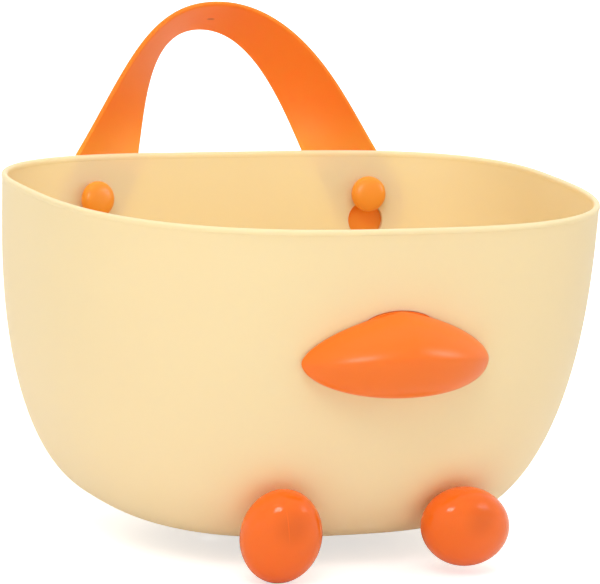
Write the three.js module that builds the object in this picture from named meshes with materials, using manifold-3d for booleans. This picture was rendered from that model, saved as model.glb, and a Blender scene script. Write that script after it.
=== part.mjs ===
// Hanging wall basket: a deep oval tub with a duck's beak and two feet on its front,
// and a looped strap handle held in two keyholes in its back wall.
// Millimetres, +Z up, the beak faces -Y and the handle stands at the +Y side.
import * as THREE from 'three';
import { mergeVertices } from 'three/addons/utils/BufferGeometryUtils.js';
import Module from 'manifold-3d';

const wasm = await Module();
wasm.setup();

// Fits
const runningGap = 0.3;
const cutOverrun = 8;

// Tub
const tubWidth = 290;
const tubFrontReach = 124;
const tubBackReach = 76.5;
const tubHeight = 160.3;
const tubWall = 2.4;
const tubBaseThickness = 2.8;
const backFlatHalfWidth = 30;
const frontRoundPower = 2.74;
const backRoundPower = 2.7;
const wallDraftShare = 0.017;
const backDraftShare = 0.15;
const sideInset = 68.4;
const frontInset = 55;
const backInset = 16;
const sideCornerPower = 2.34;
const frontCornerPower = 2.79;
const backCornerPower = 2.2;
const frontUprightDepth = 9.8;
const backUprightDepth = 55;
const lipProud = 0.3;
const lipHeight = 2.4;
const lipRunOut = 0.6;
const drainHoleDiameter = 5;
const drainPitch = 22;
const drainColumns = 5;
const drainRows = 2;

// Keyholes and studs
const studSpread = 76.2;
const studDrop = 21.9;
const keyTravel = 13.4;
const studNeckDiameter = 9;
const studHeadDiameter = 18;
const studHeadEdge = 3.6;
const studHeadDome = 1.9;
const studHeadGap = 2.8;
const studFlangeDiameter = 15;
const studFlangeThickness = 1.8;
const keyLobeDiameter = 18.4;

// Handle strap
const strapThickness = 2.6;
const strapWallGap = 0.75;
const strapFootDrop = 14;
const strapEndDrop = 47;
const strapEndSpread = 79;
const strapEndReach = 16;
const strapTabReach = 11;
const strapOuterRise = 72.2;
const strapOuterCrownReach = 50;
const strapOuterLegReach = 43.4;
const strapOuterSpread = 93.5;
const strapOuterLegAngle = 38.7;
const strapOuterLean = 20.2;
const strapOuterLeanPower = 3;
const strapInnerRise = 55.6;
const strapInnerCrownReach = 35.9;
const strapInnerLegReach = 20.3;
const strapInnerSpread = 50.6;
const strapInnerLegAngle = 28.8;
const strapInnerLean = 41.2;
const strapInnerLeanPower = 1.1;

// Beak
const beakHalfWidth = 49.1;
const beakTopDrop = 39.5;
const beakTipDrop = 63.4;
const beakBottomDrop = 79;
const beakTipReach = 1.5;
const beakCentreReach = 12.5;
const beakTopReach = 0.8;
const beakBulge = 10.9;
const beakWallGap = 0.8;
const beakTopPower = 1.33;
const beakSlopePower = 0.6;
const beakBottomPower = 2.1;
const beakSidePower = 1.8;
const beakTipWallShare = 2.5;
const beakTopWallShare = 1.5;
const beakWall = 2;
const neckHalfWidth = 19.7;
const neckHalfHeight = 8.7;
const neckRoot = 1.6;
const neckBeadProud = 1.2;
const neckBeadLength = 2;
const neckBeadGap = 1.2;

// Feet
const footLong = 51;
const footShort = 40.2;
const footThick = 27;
const footFacePower = 2.16;
const footWall = 2;
const footSpread = 47.8;
const footRise = 16.6;
const footTilt = 20;
const footYaw = 5;
const footStandOff = 1.8;
const footLeftSpin = 101;
const footRightSpin = -27;
const pegDiameter = 10;
const pegBore = 5.4;
const pegBeadProud = 1.3;
const pegTipLength = 4;
const pegSlitWidth = 1.4;

const halfWidth = tubWidth / 2;
const footDrop = tubHeight - footRise;
const strapStepShare = 0.01;
const bisections = 30;
const creamPlastic = { color: 0xf9e3b4, roughness: 0.34, metalness: 0 };
const orangeRubber = { color: 0xfb8038, roughness: 0.5, metalness: 0 };
const orangePlastic = { color: 0xfb7a30, roughness: 0.25, metalness: 0 };

// Closed solid from rings of points, each end drawn together in one pole
function skin(rings, firstPole, lastPole) {
  const count = rings[0].length;
  const points = [firstPole, ...rings.flat(), lastPole];
  const last = points.length - 1;
  const faces = [];
  for (let i = 0; i < count; i += 1) {
    const j = (i + 1) % count;
    faces.push(0, 1 + j, 1 + i);
    for (let k = 0; k < rings.length - 1; k += 1) {
      const here = 1 + k * count;
      const next = here + count;
      faces.push(here + i, here + j, next + j, here + i, next + j, next + i);
    }
    const end = last - count;
    faces.push(last, end + i, end + j);
  }
  const geometry = new THREE.BufferGeometry();
  geometry.setAttribute('position', new THREE.Float32BufferAttribute(points.flatMap((p) => p.toArray()), 3));
  geometry.setIndex(faces);
  return geometry;
}

function solidOf(geometry) {
  const bare = geometry.clone();
  bare.deleteAttribute('normal');
  bare.deleteAttribute('uv');
  const merged = mergeVertices(bare);
  const vertProperties = new Float32Array(merged.attributes.position.array);
  const triVerts = new Uint32Array(merged.index.array);
  return new wasm.Manifold(new wasm.Mesh({ numProp: 3, vertProperties, triVerts }));
}

function geometryOf(solid) {
  const mesh = solid.getMesh();
  const geometry = new THREE.BufferGeometry();
  geometry.setAttribute('position', new THREE.BufferAttribute(new Float32Array(mesh.vertProperties), 3));
  geometry.setIndex(new THREE.BufferAttribute(new Uint32Array(mesh.triVerts), 1));
  const flat = geometry.toNonIndexed();
  flat.computeVertexNormals();
  return flat;
}

function meshOf(name, solid, finish) {
  const mesh = new THREE.Mesh(geometryOf(solid), new THREE.MeshStandardMaterial(finish));
  mesh.name = name;
  return mesh;
}

// How far the wall has drawn in at a share of the tub's height
function insetAt(share, inset, power, uprightDepth, draftShare) {
  const uprightShare = uprightDepth / tubHeight;
  const round = Math.max(0, (share - uprightShare) / (1 - uprightShare));
  return draftShare * share * tubHeight + inset * (1 - (1 - round ** power) ** (1 / power));
}

function planAt(share, grow) {
  const side = insetAt(share, sideInset, sideCornerPower, frontUprightDepth, wallDraftShare);
  const front = insetAt(share, frontInset, frontCornerPower, frontUprightDepth, wallDraftShare);
  const back = insetAt(share, backInset, backCornerPower, backUprightDepth, backDraftShare);
  const half = halfWidth + grow - side;
  return {
    half,
    front: tubFrontReach + grow - front,
    back: tubBackReach + grow - back,
    flat: backFlatHalfWidth * half / halfWidth,
  };
}

// One level of the tub: front superellipse, back flat with superellipse corners
function outlineAt(share, grow, drop) {
  const plan = planAt(share, grow);
  const frontSteps = 36;
  const cornerSteps = 13;
  const flatSteps = 4;
  const points = [];
  for (let i = 0; i < frontSteps; i += 1) {
    const angle = Math.PI * i / frontSteps;
    const across = Math.sign(Math.cos(angle)) * Math.abs(Math.cos(angle)) ** (2 / frontRoundPower);
    const out = Math.sin(angle) ** (2 / frontRoundPower);
    points.push(new THREE.Vector3(-plan.half * across, -plan.front * out, -drop));
  }
  const corner = [];
  for (let i = 0; i <= cornerSteps; i += 1) {
    const angle = Math.PI / 2 * i / cornerSteps;
    const across = plan.flat + (plan.half - plan.flat) * Math.cos(angle) ** (2 / backRoundPower);
    const level = i === cornerSteps ? plan.flat : across;
    corner.push([level, plan.back * Math.sin(angle) ** (2 / backRoundPower)]);
  }
  for (const [x, y] of corner) points.push(new THREE.Vector3(x, y, -drop));
  for (let i = 1; i < flatSteps; i += 1) {
    points.push(new THREE.Vector3(plan.flat * (1 - 2 * i / flatSteps), plan.back, -drop));
  }
  for (const [x, y] of corner.reverse().slice(0, -1)) points.push(new THREE.Vector3(-x, y, -drop));
  return points;
}

function frontY(x, drop, height = tubHeight, grow = 0) {
  const plan = planAt(drop / height, grow);
  const across = Math.min(1, Math.abs(x / plan.half));
  return -plan.front * (1 - across ** frontRoundPower) ** (1 / frontRoundPower);
}

function backY(x, drop) {
  const plan = planAt(drop / tubHeight, 0);
  const past = Math.max(0, Math.abs(x) - plan.flat) / (plan.half - plan.flat);
  return plan.back * (1 - past ** backRoundPower) ** (1 / backRoundPower);
}

// Turns of the back wall's outward normal at a stud, about +Z and about +X
const studStep = studNeckDiameter / 2;
const studRise = backY(studSpread - studStep, studDrop) - backY(studSpread + studStep, studDrop);
const studFall = backY(studSpread, studDrop - studStep) - backY(studSpread, studDrop + studStep);
const studTurn = Math.atan2(studRise, 2 * studStep);
const studTilt = Math.atan2(studFall, 2 * studStep);

// Geometry drawn with its axis along +Y, turned to point into the tub at a stud
function atStud(geometry, side) {
  geometry.rotateX(Math.PI - studTilt);
  geometry.rotateZ(-side * studTurn);
  geometry.translate(side * studSpread, backY(studSpread, studDrop), -studDrop);
  return geometry;
}

function keyholeCutter(side) {
  const slotRadius = studNeckDiameter / 2 + runningGap;
  const lobeRadius = keyLobeDiameter / 2;
  const joinAngle = Math.asin(slotRadius / lobeRadius);
  const shape = new THREE.Shape();
  shape.absarc(0, -keyTravel, lobeRadius, Math.PI / 2 + joinAngle, Math.PI / 2 - joinAngle, false);
  shape.absarc(0, 0, slotRadius, 0, Math.PI, false);
  const depth = tubWall + 2 * cutOverrun;
  const geometry = new THREE.ExtrudeGeometry(shape, { depth, bevelEnabled: false, curveSegments: 10 });
  geometry.rotateX(-Math.PI / 2);
  geometry.translate(0, -cutOverrun, 0);
  return solidOf(atStud(geometry, side));
}

// Frame of a foot: its peg leaves the front wall's lower bend, tilted down
function footFrame(side, spin) {
  const turn = THREE.MathUtils.degToRad(footYaw);
  const tilt = THREE.MathUtils.degToRad(footTilt);
  const cosTilt = Math.cos(tilt);
  const out = new THREE.Vector3(side * Math.sin(turn) * cosTilt, -Math.cos(turn) * cosTilt, -Math.sin(tilt));
  const level = new THREE.Vector3(Math.cos(turn), side * Math.sin(turn), 0);
  const long = level.applyAxisAngle(out, THREE.MathUtils.degToRad(spin));
  const short = new THREE.Vector3().crossVectors(long, out);
  const reach = footThick / 2 + footStandOff;
  const centre = new THREE.Vector3(side * footSpread, frontY(footSpread, footDrop), -footDrop);
  centre.addScaledVector(out, reach);
  const matrix = new THREE.Matrix4().makeBasis(long, out, short);
  matrix.setPosition(centre);
  return matrix;
}

// Way along the peg from the wall's outer face to its inner face, below the peg's axis by rim
function pegWallDepth(rim) {
  const frame = footFrame(1, 0);
  const floor = tubHeight - tubBaseThickness;
  let near = 0;
  let far = footThick;
  for (let i = 0; i < bisections; i += 1) {
    const middle = (near + far) / 2;
    const point = new THREE.Vector3(0, -(footThick / 2 + footStandOff) - middle, rim).applyMatrix4(frame);
    if (point.y < frontY(point.x, -point.z, floor, -tubWall)) near = middle;
    else far = middle;
  }
  return far;
}

function footHoleCutter(side) {
  const radius = pegDiameter / 2 + runningGap;
  const length = 2 * (footThick + cutOverrun);
  const geometry = new THREE.CylinderGeometry(radius, radius, length, 32);
  geometry.applyMatrix4(footFrame(side, 0));
  return solidOf(geometry);
}

function ovalPrism(halfAcross, halfHigh, fromY, toY) {
  const shape = new THREE.Shape();
  shape.absellipse(0, 0, halfAcross, halfHigh, 0, 2 * Math.PI, false, 0);
  const geometry = new THREE.ExtrudeGeometry(shape, { depth: toY - fromY, bevelEnabled: false, curveSegments: 16 });
  geometry.rotateX(Math.PI / 2);
  geometry.translate(0, toY, -(beakTopDrop + neckHalfHeight));
  return solidOf(geometry);
}

function makeTub() {
  const lipRadius = tubWall / 2 + lipProud;
  const outerSteps = 11;
  const innerSteps = 9;
  const lipSteps = 6;
  const rings = [];
  const addRing = (drop, grow) => rings.push(outlineAt(drop / tubHeight, grow, drop));
  for (let i = outerSteps; i > 0; i -= 1) {
    const share = Math.sin(Math.PI / 2 * i / outerSteps);
    addRing(lipHeight + lipRunOut + (tubHeight - lipHeight - lipRunOut) * share, 0);
  }
  addRing(lipHeight + lipRunOut, 0);
  addRing(lipHeight, lipProud);
  for (let i = 0; i <= lipSteps; i += 1) {
    const angle = Math.PI * i / lipSteps;
    addRing(lipRadius * (1 - Math.sin(angle)), lipProud - lipRadius * (1 - Math.cos(angle)));
  }
  addRing(lipHeight, -tubWall - lipProud);
  addRing(lipHeight + lipRunOut, -tubWall);
  const floor = tubHeight - tubBaseThickness;
  const lipEnd = lipHeight + lipRunOut;
  for (let i = 1; i <= innerSteps; i += 1) {
    const share = Math.sin(Math.PI / 2 * i / innerSteps);
    const drop = lipEnd + (floor - lipEnd) * share;
    rings.push(outlineAt(drop / floor, -tubWall, drop));
  }
  const underside = new THREE.Vector3(0, 0, -tubHeight);
  const inside = new THREE.Vector3(0, 0, -floor);
  let tub = solidOf(skin(rings, underside, inside));
  for (const side of [-1, 1]) {
    tub = tub.subtract(keyholeCutter(side));
    tub = tub.subtract(footHoleCutter(side));
  }
  const wallY = frontY(0, beakTopDrop);
  tub = tub.subtract(ovalPrism(
    neckHalfWidth + runningGap, neckHalfHeight + runningGap, wallY - cutOverrun, wallY + tubWall + cutOverrun));
  const base = planAt(1, 0);
  for (let row = 0; row < drainRows; row += 1) {
    for (let column = 0; column < drainColumns; column += 1) {
      const radius = drainHoleDiameter / 2;
      const hole = new THREE.CylinderGeometry(radius, radius, tubBaseThickness + 2 * cutOverrun, 12);
      hole.rotateX(Math.PI / 2);
      const x = (column - (drainColumns - 1) / 2) * drainPitch;
      const y = (base.back - base.front) / 2 + (row - (drainRows - 1) / 2) * drainPitch;
      hole.translate(x, y, -tubHeight);
      tub = tub.subtract(solidOf(hole));
    }
  }
  return tub;
}

// Lathed about +Y: domed head inside the tub, neck through wall and strap, flange behind
function makeStud(side) {
  const domeSteps = 5;
  const headBack = tubWall + studHeadGap;
  const headFront = headBack + studHeadEdge;
  const flangeFront = -(strapWallGap + strapThickness + runningGap);
  const neckRadius = studNeckDiameter / 2;
  const headRadius = studHeadDiameter / 2;
  const profile = [
    new THREE.Vector2(0, flangeFront - studFlangeThickness),
    new THREE.Vector2(studFlangeDiameter / 2, flangeFront - studFlangeThickness),
    new THREE.Vector2(studFlangeDiameter / 2, flangeFront),
    new THREE.Vector2(neckRadius, flangeFront),
    new THREE.Vector2(neckRadius, headBack),
    new THREE.Vector2(headRadius, headBack),
  ];
  for (let i = 0; i < domeSteps; i += 1) {
    const angle = Math.PI / 2 * i / domeSteps;
    profile.push(new THREE.Vector2(headRadius * Math.cos(angle), headFront + studHeadDome * Math.sin(angle)));
  }
  profile.push(new THREE.Vector2(0, headFront + studHeadDome));
  const geometry = new THREE.LatheGeometry(profile, 28);
  return solidOf(atStud(geometry, side));
}

// Half of one strap edge, crown to tab end, as two Bezier curves of x and z
function strapEdge(rise, crownReach, legReach, spread, legAngle, tabSide) {
  const angle = THREE.MathUtils.degToRad(legAngle);
  const heading = new THREE.Vector2(Math.sin(angle), -Math.cos(angle));
  const foot = new THREE.Vector2(spread, -strapFootDrop);
  const end = new THREE.Vector2(strapEndSpread, -strapEndDrop);
  const leg = new THREE.CubicBezierCurve(
    new THREE.Vector2(0, rise),
    new THREE.Vector2(crownReach, rise),
    foot.clone().addScaledVector(heading, -legReach),
    foot,
  );
  const tab = new THREE.CubicBezierCurve(
    foot,
    foot.clone().addScaledVector(heading, strapTabReach),
    end.clone().add(new THREE.Vector2(tabSide * strapEndReach, 0)),
    end,
  );
  return (along) => (along < 1 ? leg.getPoint(along) : tab.getPoint(along - 1));
}

const strapOuterEdge = strapEdge(
  strapOuterRise, strapOuterCrownReach, strapOuterLegReach, strapOuterSpread, strapOuterLegAngle, 1);
const strapInnerEdge = strapEdge(
  strapInnerRise, strapInnerCrownReach, strapInnerLegReach, strapInnerSpread, strapInnerLegAngle, -1);

function leanAt(z, rise, lean, power) {
  return lean * Math.max(0, (z + strapFootDrop) / (rise + strapFootDrop)) ** power;
}

// Middle of the strap: along runs -2 to 2 from tab to tab, across runs -1 inner to 1 outer
function strapPoint(along, across) {
  const outer = strapOuterEdge(Math.abs(along));
  const inner = strapInnerEdge(Math.abs(along));
  const share = (across + 1) / 2;
  const x = inner.x + (outer.x - inner.x) * share;
  const z = inner.y + (outer.y - inner.y) * share;
  const outerLean = leanAt(outer.y, strapOuterRise, strapOuterLean, strapOuterLeanPower);
  const innerLean = leanAt(inner.y, strapInnerRise, strapInnerLean, strapInnerLeanPower);
  const y = backY(x, Math.max(0, -z)) + strapWallGap + strapThickness / 2 + innerLean + (outerLean - innerLean) * share;
  return new THREE.Vector3(Math.sign(along) * x, y, z);
}

function strapNormal(along, across) {
  const step = strapStepShare;
  const a = Math.max(-2 + 4 * step, Math.min(2 - 4 * step, along));
  const b = Math.max(-1 + step, Math.min(1 - step, across));
  const run = strapPoint(a + step, b).sub(strapPoint(a - step, b));
  const rise = strapPoint(a, b + step).sub(strapPoint(a, b - step));
  return run.cross(rise).normalize();
}

function strapRing(along) {
  const faceSteps = 7;
  const edgeSteps = 4;
  const width = strapPoint(along, 1).distanceTo(strapPoint(along, -1));
  const round = Math.min(strapThickness / width, 1);
  const ring = [];
  for (const face of [1, -1]) {
    for (let i = 0; i < edgeSteps; i += 1) {
      const angle = Math.PI * (i / edgeSteps - 1 / 2);
      ring.push([face * (1 - round + round * Math.cos(angle)), face * Math.sin(angle)]);
    }
    for (let i = 0; i < faceSteps; i += 1) {
      ring.push([face * (1 - round) * (1 - 2 * i / faceSteps), face]);
    }
  }
  return ring.map(([across, lift]) => {
    const normal = strapNormal(along, across);
    return strapPoint(along, across).addScaledVector(normal, lift * strapThickness / 2);
  });
}

function makeStrap() {
  const legSteps = 18;
  const tabSteps = 7;
  const stations = [];
  for (let i = 1; i < tabSteps; i += 1) stations.push(-1 - Math.sin(Math.PI / 2 * (1 - i / tabSteps)));
  for (let i = -legSteps; i <= legSteps; i += 1) stations.push(i / legSteps);
  for (let i = 1; i < tabSteps; i += 1) stations.push(1 + Math.sin(Math.PI / 2 * i / tabSteps));
  let strap = solidOf(skin(stations.map(strapRing), strapPoint(-2, 0), strapPoint(2, 0)));
  const radius = studNeckDiameter / 2 + runningGap;
  for (const side of [-1, 1]) {
    const hole = new THREE.CylinderGeometry(radius, radius, 2 * cutOverrun, 28);
    strap = strap.subtract(solidOf(atStud(hole, side)));
  }
  return strap;
}

function roundFall(share, power) {
  return (1 - share ** power) ** (1 / power);
}

// Section of the beak at one x: its front rounds forward, its upper half slopes back to the wall
function beakRing(x, inset, steps) {
  const share = Math.abs(x) / (beakHalfWidth - inset * beakTipWallShare);
  const outerShare = Math.abs(x) / beakHalfWidth;
  const topRise = beakTipDrop - beakTopDrop - inset * beakTopWallShare;
  const top = -beakTipDrop + topRise * (1 - share ** beakTopPower) ** beakSlopePower;
  const bottom = -beakTipDrop - (beakBottomDrop - beakTipDrop - inset) * roundFall(share, beakBottomPower);
  const outerFall = roundFall(outerShare, beakSidePower);
  const centre = beakTipReach + (beakCentreReach - beakTipReach) * outerFall;
  const innerBulge = (beakBulge - inset) * roundFall(share, beakSidePower);
  const bulge = Math.min(beakBulge * outerFall - inset, innerBulge);
  const topReach = Math.min(centre, beakTopReach + (beakTipReach - beakTopReach) * outerShare ** 2);
  const half = (top - bottom) / 2;
  const ring = [];
  for (let i = 0; i < steps; i += 1) {
    const angle = 2 * Math.PI * i / steps;
    const slope = Math.max(0, Math.sin(angle)) ** 2 * (centre - topReach);
    const reach = Math.max(beakWallGap + inset, centre + bulge * Math.cos(angle) - slope);
    const z = (top + bottom) / 2 + half * Math.sin(angle);
    ring.push(new THREE.Vector3(x, frontY(x, -z) - reach, z));
  }
  return ring;
}

function beakSkin(inset, stations, steps) {
  const half = beakHalfWidth - inset * beakTipWallShare;
  const rings = [];
  for (let i = 1; i < stations; i += 1) {
    rings.push(beakRing(half * Math.cos(Math.PI * i / stations), inset, steps));
  }
  const outerFall = roundFall(half / beakHalfWidth, beakSidePower);
  const reach = Math.max(beakWallGap + inset, beakTipReach + (beakCentreReach - beakTipReach) * outerFall);
  const y = frontY(half, beakTipDrop) - reach;
  return solidOf(skin(rings, new THREE.Vector3(half, y, -beakTipDrop), new THREE.Vector3(-half, y, -beakTipDrop)));
}

function makeBeak() {
  const wallY = frontY(0, beakTopDrop + neckHalfHeight);
  const beadStart = wallY + tubWall + neckBeadGap;
  const neckEnd = beadStart + neckBeadLength;
  const neck = ovalPrism(neckHalfWidth, neckHalfHeight, wallY - neckRoot, neckEnd);
  const bead = ovalPrism(neckHalfWidth + neckBeadProud, neckHalfHeight + neckBeadProud, beadStart, neckEnd);
  const bore = ovalPrism(
    neckHalfWidth - beakWall, neckHalfHeight - beakWall, wallY - neckRoot - beakWall, neckEnd + cutOverrun);
  return beakSkin(0, 24, 24).add(neck).add(bead).subtract(beakSkin(beakWall, 16, 18)).subtract(bore);
}

// Foot body: an oval face, and a superellipse through the thickness along Y
function pebble(inset, around, down) {
  const power = 2 / footFacePower;
  const halfLong = footLong / 2 - inset;
  const halfThick = footThick / 2 - inset;
  const halfShort = footShort / 2 - inset;
  const rings = [];
  for (let k = 1; k < down; k += 1) {
    const rise = Math.PI * k / down;
    const wide = Math.sin(rise) ** power;
    const out = Math.sign(Math.cos(rise)) * Math.abs(Math.cos(rise)) ** power;
    const ring = [];
    for (let i = 0; i < around; i += 1) {
      const turn = 2 * Math.PI * i / around;
      const x = halfLong * wide * Math.cos(turn);
      ring.push(new THREE.Vector3(x, halfThick * out, halfShort * wide * Math.sin(turn)));
    }
    rings.push(ring);
  }
  return solidOf(skin(rings, new THREE.Vector3(0, halfThick, 0), new THREE.Vector3(0, -halfThick, 0)));
}

// Foot about its own frame: long axis +X, peg axis -Y into the tub, short axis +Z
function makeFoot(side, spin) {
  const wallFace = -(footThick / 2 + footStandOff);
  const radius = pegDiameter / 2;
  const beadFace = wallFace - pegWallDepth(radius + pegBeadProud) - runningGap;
  const tip = beadFace - pegBeadProud - pegTipLength;
  const peg = new THREE.LatheGeometry([
    new THREE.Vector2(0, tip),
    new THREE.Vector2(radius - pegBeadProud, tip),
    new THREE.Vector2(radius + pegBeadProud, beadFace - pegBeadProud),
    new THREE.Vector2(radius + pegBeadProud, beadFace - pegBeadProud / 2),
    new THREE.Vector2(radius, beadFace),
    new THREE.Vector2(radius, -footThick / 2 + footWall),
    new THREE.Vector2(0, -footThick / 2 + footWall),
  ], 20);
  const boreLength = -tip;
  const bore = new THREE.CylinderGeometry(pegBore / 2, pegBore / 2, boreLength, 16);
  bore.translate(0, tip + boreLength / 2 - footWall, 0);
  let foot = pebble(0, 26, 15).add(solidOf(peg)).subtract(pebble(footWall, 18, 9));
  foot = foot.subtract(solidOf(bore));
  const slitLength = wallFace - tip;
  for (const turn of [0, Math.PI / 2]) {
    const slit = new THREE.BoxGeometry(pegSlitWidth, slitLength, 2 * (radius + pegBeadProud + runningGap));
    slit.translate(0, tip + slitLength / 2 - cutOverrun / 2, 0);
    slit.rotateY(turn);
    foot = foot.subtract(solidOf(slit));
  }
  const geometry = geometryOf(foot);
  geometry.applyMatrix4(footFrame(side, spin));
  return solidOf(geometry);
}

const basket = new THREE.Group();
basket.name = 'basket';
const face = new THREE.Group();
face.name = 'face';
const handle = new THREE.Group();
handle.name = 'handle';
basket.add(meshOf('tub', makeTub(), creamPlastic), face, handle);
face.add(meshOf('beak', makeBeak(), orangeRubber));
face.add(meshOf('foot_left', makeFoot(-1, footLeftSpin), orangePlastic));
face.add(meshOf('foot_right', makeFoot(1, footRightSpin), orangePlastic));
handle.add(meshOf('handle_strap', makeStrap(), orangeRubber));
handle.add(meshOf('handle_stud_left', makeStud(-1), orangePlastic));
handle.add(meshOf('handle_stud_right', makeStud(1), orangePlastic));

// The origin goes to the middle of the lowest level of the whole object
const bounds = new THREE.Box3().setFromObject(basket);
const middle = bounds.getCenter(new THREE.Vector3());
basket.position.set(-middle.x, -middle.y, -bounds.min.z);
basket.updateMatrixWorld(true);

export default basket;
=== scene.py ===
# Hanging wall basket: a cream tub with a duck's beak and feet, hung from a soft orange strap.
# Sizes of the pieces and of the camera's place are millimetres from the middle of the rim:
# x to the right of someone facing the beak, y towards the wall, z up, and drop is down.
import bpy
import numpy as np
from mathutils import Matrix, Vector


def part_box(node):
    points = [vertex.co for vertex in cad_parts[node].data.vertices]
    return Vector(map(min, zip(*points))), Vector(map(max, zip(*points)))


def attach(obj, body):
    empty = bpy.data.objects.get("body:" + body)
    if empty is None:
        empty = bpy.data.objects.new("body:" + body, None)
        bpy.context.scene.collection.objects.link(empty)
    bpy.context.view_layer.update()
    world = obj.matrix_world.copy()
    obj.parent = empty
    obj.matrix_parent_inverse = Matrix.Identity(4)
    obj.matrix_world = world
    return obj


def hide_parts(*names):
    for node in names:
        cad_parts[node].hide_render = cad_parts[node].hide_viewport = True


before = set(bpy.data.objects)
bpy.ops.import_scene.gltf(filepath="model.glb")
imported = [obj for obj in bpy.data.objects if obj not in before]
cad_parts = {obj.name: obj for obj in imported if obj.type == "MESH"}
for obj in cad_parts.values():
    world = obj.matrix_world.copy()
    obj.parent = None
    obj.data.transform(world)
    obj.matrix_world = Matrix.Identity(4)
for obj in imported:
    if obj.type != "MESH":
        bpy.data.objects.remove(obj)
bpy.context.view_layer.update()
print("frame loaded:", len(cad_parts), "nodes")

tub = dict(
    width=290, frontReach=124, backReach=76.5, height=160.3, wall=2.4, base=2.8,
    backFlatHalf=30, frontPower=2.74, backPower=2.7, draftShare=0.017,
    sideInset=68.4, frontInset=55, backInset=16, backDraftShare=0.15,
    sidePower=2.34, frontCornerPower=2.79, backCornerPower=2.2,
    frontUpright=9.8, backUpright=55,
    lipProud=0.3, lipInside=0.1, lipHeight=2.4, lipRunOut=0.6,
    drainDiameter=5, drainPitch=22, drainColumns=5, drainRows=2,
)
millimetre = 0.001
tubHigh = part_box("tub")[1]
rimMiddle = np.array([0, tubHigh[1] - (tub["backReach"] + tub["lipProud"]) * millimetre, tubHigh[2]])
cutOverrun = 8  # how far a cutter stands past what it cuts
runningGap = 0.3  # play between a moving piece and its hole
sharpAngle = np.radians(38)  # edges steeper than this stay crisp
rightward = np.array([1.0, 0, 0])
upward = np.array([0, 0, 1.0])


# Millimetres about the rim's middle become metres in the shared frame
def toWorld(points):
    return np.asarray(points, float) * millimetre + rimMiddle


# Points and faces of a closed skin: rings joined by quads, with a fan to a pole at each end
def closedSkin(rings, firstPole, lastPole):
    rows, columns = rings.shape[:2]
    points = np.vstack([[firstPole], rings.reshape(-1, 3), [lastPole]])
    here = np.arange(columns)
    nextColumn = (here + 1) % columns
    start = 1 + columns * np.arange(rows - 1)[:, None]
    below = start + columns
    quads = np.stack([start + here, start + nextColumn, below + nextColumn, below + here], -1)
    firstFan = np.stack([np.zeros(columns, int), 1 + nextColumn, 1 + here], -1)
    end = 1 + columns * (rows - 1)
    lastFan = np.stack([np.full(columns, len(points) - 1), end + here, end + nextColumn], -1)
    return points, (quads.reshape(-1, 4), firstFan, lastFan)


# One piece of one or more skins, each one's faces numbered on from the points before it
def makePiece(name, *skins):
    faces, before = [], 0
    for points, patches in skins:
        for patch in patches:
            faces += (before + patch).tolist()
        before += len(points)
    allPoints = np.concatenate([points for points, patches in skins])
    mesh = bpy.data.meshes.new(name)
    mesh.from_pydata(toWorld(allPoints).tolist(), [], faces)
    mesh.update()
    piece = bpy.data.objects.new(name, mesh)
    bpy.context.scene.collection.objects.link(piece)
    return piece


# A profile of radius and height turned about its axis, on the given axes and centre
def turned(profile, centre, sideways, along, steps=64):
    profile = np.asarray(profile, float)
    angle = np.linspace(0, 2 * np.pi, steps, endpoint=False)
    third = np.cross(along, sideways)
    spoke = np.cos(angle)[:, None] * sideways + np.sin(angle)[:, None] * third
    rings = centre + profile[1:-1, None, :1] * spoke + profile[1:-1, None, 1:] * along
    return closedSkin(rings, centre + profile[0, 1] * along, centre + profile[-1, 1] * along)


# A plain rod for a round hole, from low to high on its axis
def rod(radius, low, high, centre, sideways, along, steps=64):
    profile = [(0, low), (radius, low), (radius, high), (0, high)]
    return turned(profile, centre, sideways, along, steps)


# A flat loop of across and up values carried along its axis from low to high
def prism(loop, low, high, centre, sideways, upWay, along):
    flat = loop[:, :1] * sideways + loop[:, 1:] * upWay
    middle = centre + loop[:, :1].mean() * sideways + loop[:, 1:].mean() * upWay
    rings = centre + np.stack([flat + low * along, flat + high * along])
    return closedSkin(rings, middle + low * along, middle + high * along)


# One boolean step with skins as its tool, applied at once
def combine(piece, operation, *skins):
    tool = makePiece("tool", *skins)
    modifier = piece.modifiers.new("Combine", "BOOLEAN")
    modifier.operation = operation
    modifier.object = tool
    modifier.solver = "EXACT"
    graph = bpy.context.evaluated_depsgraph_get()
    mesh = bpy.data.meshes.new_from_object(piece.evaluated_get(graph))
    piece.modifiers.clear()
    old = piece.data
    piece.data = mesh
    mesh.name = piece.name
    bpy.data.meshes.remove(old)
    bpy.data.meshes.remove(tool.data)  # the tool goes with it
    return piece


# Smooth shading that breaks at the sharp edges
def smooth(piece):
    piece.data.shade_smooth()
    piece.data.set_sharp_from_angle(angle=sharpAngle)
    return piece


# Inset of the wall: a straight draft, then a superellipse corner below the upright depth
def insetAt(share, inset, power, upright, draftShare):
    upShare = upright / tub["height"]
    corner = np.clip((share - upShare) / (1 - upShare), 0, 1)
    return draftShare * share * tub["height"] + inset * (1 - (1 - corner ** power) ** (1 / power))


# Half width, front reach, back reach and half of the back's flat, at a share of the height
def planAt(share, grow):
    frontFall = tub["frontUpright"], tub["draftShare"]
    side = insetAt(share, tub["sideInset"], tub["sidePower"], *frontFall)
    front = insetAt(share, tub["frontInset"], tub["frontCornerPower"], *frontFall)
    backFall = tub["backUpright"], tub["backDraftShare"]
    back = insetAt(share, tub["backInset"], tub["backCornerPower"], *backFall)
    half = tub["width"] / 2 + grow - side
    flat = tub["backFlatHalf"] * half / (tub["width"] / 2)
    return half, tub["frontReach"] + grow - front, tub["backReach"] + grow - back, flat


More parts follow.
